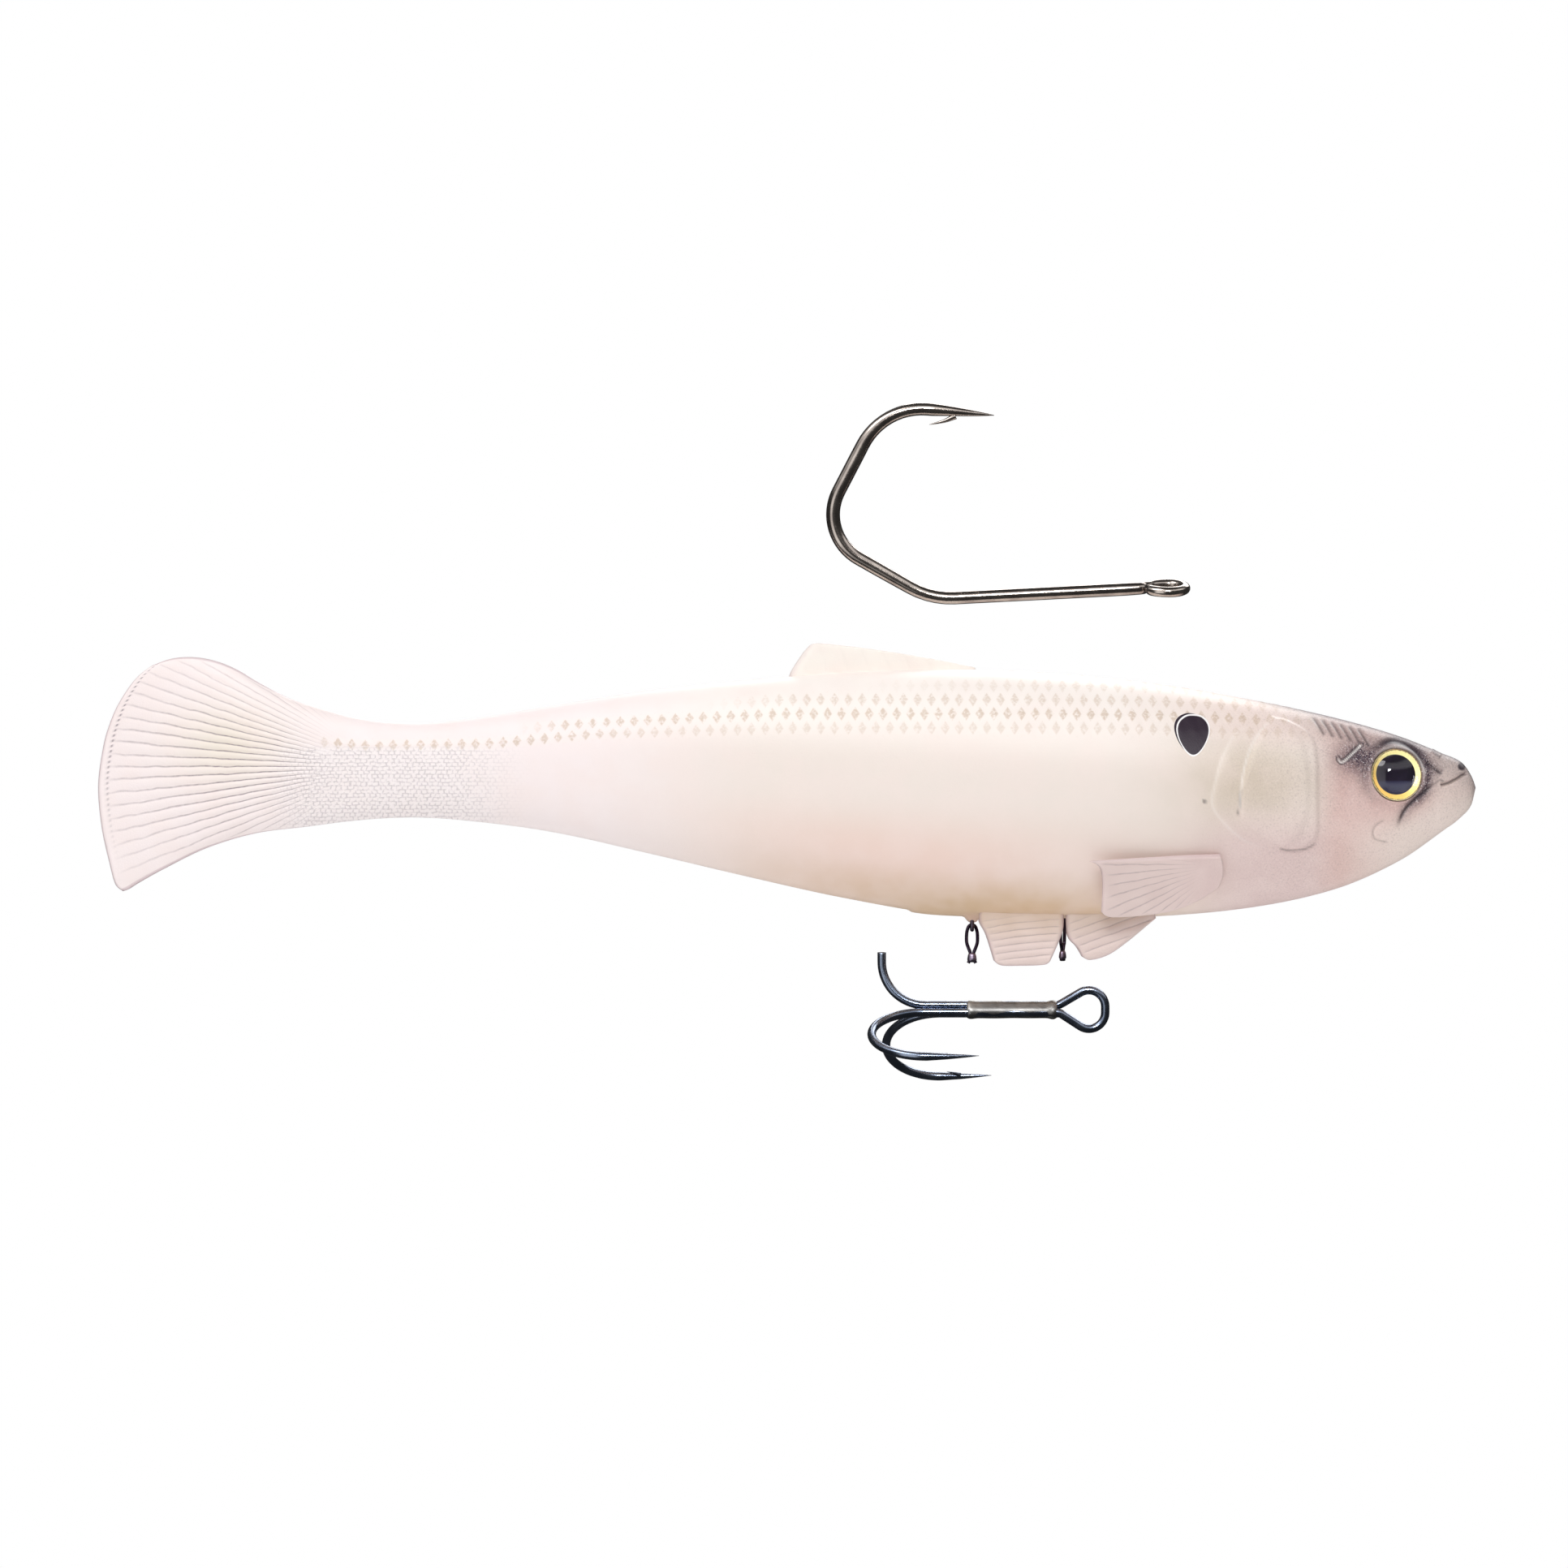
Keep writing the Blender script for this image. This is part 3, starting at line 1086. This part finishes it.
def hanger_mesh(at, turn, reach):
    """A teardrop wire loop turned about the upright, and the crimp over its two legs.

    reach is how much longer than LOOP it is.
    """
    longer = [(x, z - reach if z < -1.5 else z) for x, z in LOOP]
    whole = longer + [(-x, z) for x, z in longer[-2::-1]]
    line2 = smooth_line(whole, 8)
    spin = np.array(Matrix.Rotation(math.radians(turn), 3, "Z"))
    wire = sweep(np.stack([line2[:, 0], np.zeros(len(line2)), line2[:, 1]], axis=-1),
                 HANGER_WIRE_RADIUS, 16)
    heights = np.linspace(-3.3, -4.75, 18) - reach
    angles = np.linspace(0, 2 * np.pi, CRIMP_SIDES, endpoint=False)
    rings = []
    for i, h in enumerate(heights):
        close = math.sqrt(max(0.15, 1 - ((i - 8.5) / 9) ** 4))
        size = close * (0.55 + 0.012 * i)
        rings.append(np.stack([size * np.cos(angles), (size - 0.16) * np.sin(angles),
                               np.full(CRIMP_SIDES, h)], axis=-1))
    crimp = np.vstack(rings) @ spin.T + at
    return (wire[0] @ spin.T + at, wire[1]), (crimp, capped_tube(len(heights), CRIMP_SIDES))


def build_hangers(steel, crimp_metal):
    """Both hangers, each as long as its CAD node; the front one is turned about the upright."""
    for name, turn in HANGER_TURNS:
        low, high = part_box(f"{name}_hanger")
        middle = (low + high) / 2 / MM
        at = np.array((middle[0], middle[1], high[2] / MM - LOOP_TOP))
        wire, crimp = hanger_mesh(at, turn, (high[2] - low[2]) / MM - HANGER_HEIGHT)
        add_hook(f"{name}_loop", f"hanger_{name}", (f"{name}_hanger",), wire, steel)
        obj = add_piece(f"{name}_crimp", crimp[0], crimp[1], crimp_metal, {"rest": crimp[0]})
        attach(obj, f"hanger_{name}")


# ---- materials ----

class Nodes:
    """Short names for the shader nodes that the materials share."""

    def __init__(self, name):
        self.material = bpy.data.materials.new(name)
        self.material.use_nodes = True
        self.tree = self.material.node_tree
        self.shader = self.tree.nodes["Principled BSDF"]
        self.base = None

    def set(self, **values):
        for key, value in values.items():
            socket = self.shader.inputs[key.replace("_", " ").title().replace("Ior", "IOR")]
            socket.default_value = value

    def link(self, value, socket):
        if isinstance(value, bpy.types.NodeSocket):
            self.tree.links.new(value, socket)
        else:
            socket.default_value = value

    def attribute(self, name, kind="Fac"):
        node = self.tree.nodes.new("ShaderNodeAttribute")
        node.attribute_name = name
        return node.outputs[kind]

    def split(self, vector):
        node = self.tree.nodes.new("ShaderNodeSeparateXYZ")
        self.link(vector, node.inputs[0])
        return node.outputs[0], node.outputs[1], node.outputs[2]

    def math(self, operation, a, b=0.0):
        node = self.tree.nodes.new("ShaderNodeMath")
        node.operation = operation
        self.link(a, node.inputs[0])
        self.link(b, node.inputs[1])
        return node.outputs[0]

    def times(self, a, b):
        return self.math("MULTIPLY", a, b)

    def plus(self, a, b):
        return self.math("ADD", a, b)

    def minus(self, a, b):
        return self.math("SUBTRACT", a, b)

    def over(self, a, b):
        return self.math("DIVIDE", a, b)

    def absolute(self, a):
        return self.math("ABSOLUTE", a)

    def from_whole(self, value):
        """Distance to the nearest whole number."""
        return self.absolute(self.minus(value, self.math("ROUND", value)))

    def from_half(self, value):
        """Distance to the nearest whole number and a half."""
        return self.absolute(self.minus(self.math("FRACT", value), 0.5))

    def step(self, value, low, high):
        node = self.tree.nodes.new("ShaderNodeMapRange")
        node.interpolation_type = "SMOOTHSTEP"
        self.link(value, node.inputs["Value"])
        node.inputs["From Min"].default_value = low
        node.inputs["From Max"].default_value = high
        return node.outputs["Result"]

    def noise(self, vector, scale, detail=2.0):
        node = self.tree.nodes.new("ShaderNodeTexNoise")
        self.link(vector, node.inputs["Vector"])
        node.inputs["Scale"].default_value = scale
        node.inputs["Detail"].default_value = detail
        return node.outputs["Fac"]

    def mix(self, share, a, b):
        node = self.tree.nodes.new("ShaderNodeMix")
        node.data_type = "RGBA"
        self.link(share, node.inputs[0])
        self.link(a if isinstance(a, bpy.types.NodeSocket) else (*a, 1), node.inputs[6])
        self.link(b if isinstance(b, bpy.types.NodeSocket) else (*b, 1), node.inputs[7])
        return node.outputs[2]

    def lay(self, share, colour):
        """Mixes a colour into the base colour so far."""
        self.base = self.mix(share, self.base, colour)

    def bump(self, height, distance, strength):
        node = self.tree.nodes.new("ShaderNodeBump")
        node.inputs["Strength"].default_value = strength
        node.inputs["Distance"].default_value = distance
        self.link(height, node.inputs["Height"])
        self.tree.links.new(node.outputs[0], self.shader.inputs["Normal"])

    def colour(self, value):
        self.link(value, self.shader.inputs["Base Color"])


def egg(n, x, z, cx, cz):
    """Distance from the centre of an egg that narrows downward; 1 on its outline."""
    dz = n.minus(z, cz)
    width = n.plus(n.times(dz, 0.24), 2.15)
    dx = n.over(n.minus(x, cx), width)
    high = n.over(dz, 2.85)
    return n.math("SQRT", n.plus(n.times(dx, dx), n.times(high, high)))


def lattice(n, column, row, wide, tall):
    """1 inside a diamond in each cell of a staggered lattice."""
    index = n.math("ROUND", row)
    shift = n.times(n.math("FLOORED_MODULO", index, 2.0), 0.5)
    along = n.plus(column, shift)
    across = n.from_whole(along)
    up = n.absolute(n.minus(row, index))
    reach = n.plus(n.over(across, wide), n.over(up, tall))
    return n.step(reach, 1.15, 0.7)


def woven_threads(n, rest, x, z):
    """Dark gaps of a fine, uneven weave: long threads and the short ones that cross them."""
    shake = n.times(n.noise(rest, 0.8, 2.0), 0.9)
    row = n.plus(n.over(z, 0.56), shake)
    index = n.math("FLOOR", row)
    column = n.plus(n.over(x, 0.8), n.times(index, 0.5))
    column = n.plus(column, n.times(shake, 1.2))
    gap = n.step(n.from_half(row), 0.28, 0.46)
    cross = n.step(n.from_half(column), 0.3, 0.46)
    return n.times(n.math("MAXIMUM", gap, cross), n.step(n.noise(rest, 2.2), 0.3, 0.6))


def soft_material():
    """Pearl soft plastic: tint, scale marks, weave, rays, airbrush, lines and the shoulder spot."""
    n = Nodes("soft_pearl")
    rest = n.attribute("rest", "Vector")
    x, _, z = n.split(rest)
    fine = n.noise(rest, 5.0, 3.0)
    broad = n.noise(rest, 0.18, 2.0)
    column, row, strength = n.split(n.attribute("cell", "Vector"))
    marks = n.times(lattice(n, column, row, 0.34, 0.52), strength)
    mottled = n.times(marks, n.step(n.noise(rest, 2.6, 3.0), 0.25, 0.6))
    n.base = n.mix(n.times(n.step(broad, 0.35, 0.7), 0.25), n.attribute("tint", "Color"),
                   srgb(250, 232, 226))
    n.lay(n.times(strength, 0.22), srgb(255, 244, 236))
    n.lay(n.times(mottled, 0.62), srgb(205, 180, 156))
    threads = woven_threads(n, rest, x, z)
    weave = n.times(threads, n.attribute("weave"))
    n.lay(n.times(n.attribute("weave"), 0.45), srgb(255, 250, 250))
    n.lay(n.times(weave, 0.55), srgb(196, 184, 188))
    ray, ray_share, dot_row = n.split(n.attribute("ray", "Vector"))
    ray = n.plus(ray, n.times(n.minus(n.noise(rest, 0.3), 0.5), 0.4))
    from_ray = n.from_whole(ray)
    lines = n.times(n.step(from_ray, 0.13, 0.02), ray_share)
    n.lay(n.times(lines, n.plus(n.noise(rest, 1.4), 0.3)), srgb(146, 126, 134))
    from_dot = n.from_half(n.attribute("dot"))
    dots = n.times(n.step(from_dot, 0.3, 0.16), dot_row)
    n.lay(n.times(dots, 0.75), srgb(120, 98, 112))
    grain = n.noise(rest, 4.0, 4.0)
    head = n.step(x, -44.0, -22.0)
    n.lay(n.times(n.step(grain, 0.5, 0.75), n.times(head, 0.26)), srgb(150, 128, 132))
    n.lay(n.times(n.step(grain, 0.46, 0.28), n.times(head, 0.3)), srgb(255, 240, 234))
    spray = n.times(n.attribute("paint"), n.plus(n.times(grain, 1.3), 0.35))
    n.lay(spray, srgb(74, 58, 70))
    sparkle = n.times(n.step(n.noise(rest, 7.5, 0.0), 0.7, 0.76),
                      n.step(n.attribute("paint"), 0.25, 0.6))
    n.lay(n.times(sparkle, 0.8), srgb(250, 244, 246))
    grit = n.plus(n.times(n.noise(rest, 6.0, 2.0), 0.5), 0.72)
    n.lay(n.times(n.attribute("ink"), grit), srgb(52, 40, 50))
    n.lay(n.attribute("white"), srgb(255, 250, 246))
    n.lay(n.attribute("edge"), srgb(196, 172, 178))
    main = egg(n, x, z, -39.2, 4.8)
    ghost = egg(n, x, z, -39.7, 5.15)
    on_front = n.step(x, -60.0, -55.0)
    spot = n.math("MAXIMUM", n.step(main, 1.015, 0.985), n.step(ghost, 1.015, 0.985))
    ring = n.step(n.absolute(n.minus(main, 1.035)), 0.055, 0.03)
    n.lay(n.times(spot, on_front), srgb(46, 32, 47))
    n.lay(n.times(ring, on_front), srgb(255, 252, 252))
    n.colour(n.base)
    n.link(n.plus(n.times(fine, 0.16), 0.36), n.shader.inputs["Roughness"])
    n.set(specular_ior_level=0.32)
    height = n.plus(n.times(fine, 0.5), n.times(weave, 0.8))
    n.bump(height, 0.00008, 0.6)
    return n.material


def metal(name, dark, light, roughness, grain=3.0):
    """Drawn or plated metal: mottled colour, uneven roughness and fine die marks."""
    n = Nodes(name)
    rest = n.attribute("rest", "Vector")
    cloudy = n.noise(rest, 0.35, 3.0)
    marks = n.noise(rest, grain, 3.0)
    n.colour(n.mix(n.step(cloudy, 0.3, 0.7), dark, light))
    n.link(n.plus(n.times(marks, 0.1), roughness), n.shader.inputs["Roughness"])
    n.set(metallic=1.0)
    n.bump(marks, 0.000003, 0.08)
    return n.material


def cad_metal(name, dark, light, roughness):
    """As metal(), on a CAD node, which carries no rest attribute: object coordinates in metres."""
    n = Nodes(name)
    coordinates = n.tree.nodes.new("ShaderNodeTexCoord").outputs["Object"]
    grain = n.noise(coordinates, 1500.0, 3.0)
    n.colour(n.mix(n.step(grain, 0.35, 0.65), dark, light))
    n.link(n.plus(n.times(grain, 0.2), roughness), n.shader.inputs["Roughness"])
    n.set(metallic=1.0)
    n.bump(grain, 0.00003, 0.5)
    return n.material


def cad_plastic(name, colour, other, pitch):
    """Plastic or cloth on a CAD node, in two colours that alternate with the given pitch."""
    n = Nodes(name)
    coordinates = n.tree.nodes.new("ShaderNodeTexCoord").outputs["Object"]
    x, _, z = n.split(coordinates)
    waves = n.times(n.math("SINE", n.times(x, 6.283 / pitch)),
                    n.math("SINE", n.times(z, 6.283 / pitch)))
    n.colour(n.mix(n.step(waves, -0.3, 0.3), colour, other))
    n.set(roughness=0.45)
    n.bump(waves, 0.00005, 0.6)
    return n.material


def iris_material():
    """Gold foil with radial streaks, brighter above and ahead, in a speckled brown rim."""
    n = Nodes("gold_iris")
    rest = n.attribute("rest", "Vector")
    x, y, _ = n.split(rest)
    radius = n.math("SQRT", n.plus(n.times(x, x), n.times(y, y)))
    spokes = n.noise(n.times(n.math("ARCTAN2", y, x), 9.0), 2.0, 3.0)
    grain = n.noise(rest, 3.0, 2.0)
    glow = n.step(n.plus(n.times(x, 0.6), y), -3.0, 2.6)
    n.base = n.mix(glow, srgb(248, 204, 108), srgb(255, 244, 172))
    n.lay(n.times(n.step(spokes, 0.45, 0.75), 0.35), srgb(186, 124, 36))
    rim = n.step(n.plus(radius, n.times(grain, 0.3)), 3.62, 3.74)
    n.lay(rim, srgb(70, 36, 22))
    n.colour(n.base)
    n.set(metallic=0.15, roughness=0.4)
    n.bump(spokes, 0.00003, 0.6)
    return n.material


def pupil_material():
    n = Nodes("black_pupil")
    grain = n.noise(n.attribute("rest", "Vector"), 1.2, 2.0)
    low = n.step(n.split(n.attribute("rest", "Vector"))[1], -0.75, -1.0)
    dark = n.mix(grain, srgb(12, 6, 16), srgb(26, 18, 36))
    n.colour(n.mix(low, dark, srgb(40, 40, 62)))
    n.set(roughness=0.4, specular_ior_level=0.1)
    return n.material


def clear_material():
    n = Nodes("clear_dome")
    n.set(transmission_weight=1.0, ior=1.45)
    ripple = n.noise(n.attribute("rest", "Vector"), 0.5, 1.0)
    n.link(n.times(ripple, 0.01), n.shader.inputs["Roughness"])
    n.colour(n.mix(ripple, srgb(250, 250, 252), srgb(255, 255, 255)))
    n.bump(ripple, 0.00001, 0.05)
    return n.material


def dress_cad_nodes():
    """Materials for the pieces that show as CAD made them."""
    looks = {
        "line_tube": cad_plastic("tube_plastic", srgb(232, 232, 230), srgb(214, 216, 218), 0.003),
        "ballast": cad_metal("cast_weight", srgb(92, 94, 100), srgb(126, 128, 132), 0.45),
        "harness_wire": cad_metal("harness_steel", srgb(118, 112, 122), srgb(150, 146, 152), 0.22),
        "rear_staple": cad_metal("staple_steel", srgb(66, 58, 72), srgb(104, 96, 108), 0.22),
        "tail_mesh": cad_plastic("woven_mesh", srgb(244, 240, 238), srgb(206, 200, 198), 0.0011)}
    for node, material in looks.items():
        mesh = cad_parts[node].data
        mesh.materials.clear()
        mesh.materials.append(material)


# ---- stage, lights and camera ----

# The width and centre of the view are in mm; the distances after them are in metres
VIEW_WIDTH = 227.7
VIEW_CENTRE = (-98.3, -2.24)
CAMERA_DISTANCE = 2.0
CAMERA_CLIP = (0.05, 20)
FLOOR_RADIUS = 0.6
FLOOR_DROP = 0.12
FLOOR_SIDES = 128
# The camera's sensor width in its usual unit, and the strength of the studio that gloss mirrors
SENSOR = 36
GLOSS_DARK = 0.05
GLOSS_BRIGHT = 1.2

# Name, place and size in metres, watts, and whether gloss and matt surfaces see it
LIGHTS = (
    ("key", (-0.6, -0.62, 1.0), (0.7, 0.45), 6.5, True, True),
    ("under", (0, -0.7, -0.75), (1.0, 0.2), 0.8, False, True),
    ("back", (0.3, 0.9, 0.7), (0.9, 0.4), 6.0, True, True),
    ("glint", (0.02, -0.90, 0.45), (0.17, 0.14), 4.5, True, False),
    ("fill", (0.02, -0.90, 0.45), (0.3, 0.3), 1.7, False, True))


def build_floor():
    """A pale round floor, well below the hooks."""
    centre = (CAD_LOW + CAD_HIGH) / 2
    angles = np.linspace(0, 2 * np.pi, FLOOR_SIDES, endpoint=False)
    rim = np.stack([centre[0] / MM + FLOOR_RADIUS / MM * np.cos(angles),
                    FLOOR_RADIUS / MM * np.sin(angles),
                    np.full(FLOOR_SIDES, (CAD_LOW[2] - FLOOR_DROP) / MM)], axis=-1)
    n = Nodes("pale_floor")
    coordinates = n.tree.nodes.new("ShaderNodeTexCoord").outputs["Object"]
    n.colour(n.mix(n.noise(coordinates, 40.0), srgb(244, 244, 244), srgb(248, 248, 248)))
    n.set(roughness=0.8)
    floor = add_piece("floor", rim, [list(range(FLOOR_SIDES))], n.material)
    floor.visible_glossy = False


def area_light(name, place, size, power, glossy, diffuse):
    """A rectangular light at a place relative to the middle of the view, aimed at that middle."""
    data = bpy.data.lights.new(name, "AREA")
    data.shape = "RECTANGLE"
    data.size, data.size_y = size
    data.energy = power
    light = bpy.data.objects.new(name, data)
    light.visible_glossy = glossy
    light.visible_diffuse = diffuse
    target = Vector((VIEW_CENTRE[0] * MM, 0, VIEW_CENTRE[1] * MM))
    light.location = target + Vector(place)
    light.rotation_mode = "QUATERNION"
    light.rotation_quaternion = (-Vector(place)).to_track_quat("-Z", "Y")
    bpy.context.scene.collection.objects.link(light)


def white_background(tree, strength):
    background = tree.nodes.new("ShaderNodeBackground")
    background.inputs["Color"].default_value = (1, 1, 1, 1)
    tree.links.new(strength, background.inputs["Strength"])
    return background.outputs[0]


def world_band(tree, height, low, high, start, stop):
    """Strength that rises with the height of the direction looked in."""
    node = tree.nodes.new("ShaderNodeMapRange")
    node.interpolation_type = "SMOOTHSTEP"
    for key, value in (("From Min", low), ("From Max", high), ("To Min", start), ("To Max", stop)):
        node.inputs[key].default_value = value
    tree.links.new(height, node.inputs["Value"])
    return white_background(tree, node.outputs["Result"])


def gloss_studio(tree, split):
    """What gloss mirrors: a dark studio with one bright band above the camera and one beside it."""
    def math_node(operation, a, b):
        node = tree.nodes.new("ShaderNodeMath")
        node.operation = operation
        for socket, value in zip(node.inputs, (a, b)):
            if isinstance(value, (int, float)):
                socket.default_value = value
            else:
                tree.links.new(value, socket)
        return node.outputs[0]

    def band(value, low, high, soft):
        rise = math_node("MULTIPLY", math_node("SUBTRACT", value, low), 1 / soft)
        fall = math_node("MULTIPLY", math_node("SUBTRACT", high, value), 1 / soft)
        level = math_node("MINIMUM", math_node("MINIMUM", rise, fall), 1.0)
        return math_node("MAXIMUM", level, 0.0)

    across, ahead, height = split.outputs
    above = band(height, 0.42, 0.82, 0.10)
    beside = math_node("MULTIPLY", band(across, -0.80, -0.22, 0.12), band(height, -0.6, 0.6, 0.2))
    front = band(ahead, -2.0, 0.3, 0.4)
    behind = math_node("MULTIPLY", band(height, 0.5, 0.95, 0.2), 0.1)
    light = math_node("MAXIMUM", math_node("MULTIPLY", math_node("MAXIMUM", above, beside), front),
                      behind)
    return white_background(tree, math_node("ADD", GLOSS_DARK, math_node("MULTIPLY", light,
                                                                         GLOSS_BRIGHT)))


def build_world():
    """Soft light from all round; gloss sees a dark studio with two bright bands, and the camera
    sees plain white behind the object."""
    world = bpy.data.worlds.new("studio")
    world.use_nodes = True
    bpy.context.scene.world = world
    tree = world.node_tree
    tree.nodes.clear()
    coordinates = tree.nodes.new("ShaderNodeTexCoord")
    split = tree.nodes.new("ShaderNodeSeparateXYZ")
    tree.links.new(coordinates.outputs["Generated"], split.inputs[0])
    path = tree.nodes.new("ShaderNodeLightPath")
    shown = world_band(tree, split.outputs[2], -0.3, 0.8, 0.34, 0.62)
    plain = world_band(tree, split.outputs[2], -1, 1, 1, 1)
    gloss = gloss_studio(tree, split)
    for ray, other in (("Is Glossy Ray", gloss), ("Is Camera Ray", plain)):
        mix = tree.nodes.new("ShaderNodeMixShader")
        tree.links.new(path.outputs[ray], mix.inputs[0])
        tree.links.new(shown, mix.inputs[1])
        tree.links.new(other, mix.inputs[2])
        shown = mix.outputs[0]
    output = tree.nodes.new("ShaderNodeOutputWorld")
    tree.links.new(shown, output.inputs[0])


def build_lights():
    """Key and back light; a small glint for gloss alone, and two fills that gloss does not see."""
    build_world()
    for light in LIGHTS:
        area_light(*light)


def build_camera():
    data = bpy.data.cameras.new("camera")
    data.sensor_width = SENSOR
    data.lens = SENSOR * CAMERA_DISTANCE / (VIEW_WIDTH * MM)
    data.clip_start, data.clip_end = CAMERA_CLIP
    camera = bpy.data.objects.new("camera", data)
    camera.location = (VIEW_CENTRE[0] * MM, -CAMERA_DISTANCE, VIEW_CENTRE[1] * MM)
    camera.rotation_euler = Euler((math.radians(90), 0, 0))
    bpy.context.scene.collection.objects.link(camera)
    bpy.context.scene.camera = camera
    bpy.context.scene.view_settings.view_transform = "Standard"


def main():
    build_camera()
    soft = soft_material()
    nickel = metal("dark_nickel", srgb(158, 148, 142), srgb(190, 180, 172), 0.13)
    blued = metal("blue_nickel", srgb(104, 114, 132), srgb(140, 150, 168), 0.17)
    solder = metal("dull_solder", srgb(120, 119, 118), srgb(158, 157, 155), 0.38, grain=1.4)
    steel = metal("black_wire", srgb(44, 34, 50), srgb(78, 66, 84), 0.24)
    crimp_metal = metal("crimp_metal", srgb(104, 92, 110), srgb(140, 128, 146), 0.3)
    build_skin(soft)
    build_dorsal(soft)
    build_pectorals(soft)
    build_flaps(soft)
    build_eyes(iris_material(), pupil_material(), clear_material())
    build_single_hook(nickel)
    build_treble(blued, solder)
    build_hangers(steel, crimp_metal)
    dress_cad_nodes()
    build_floor()
    build_lights()


main()
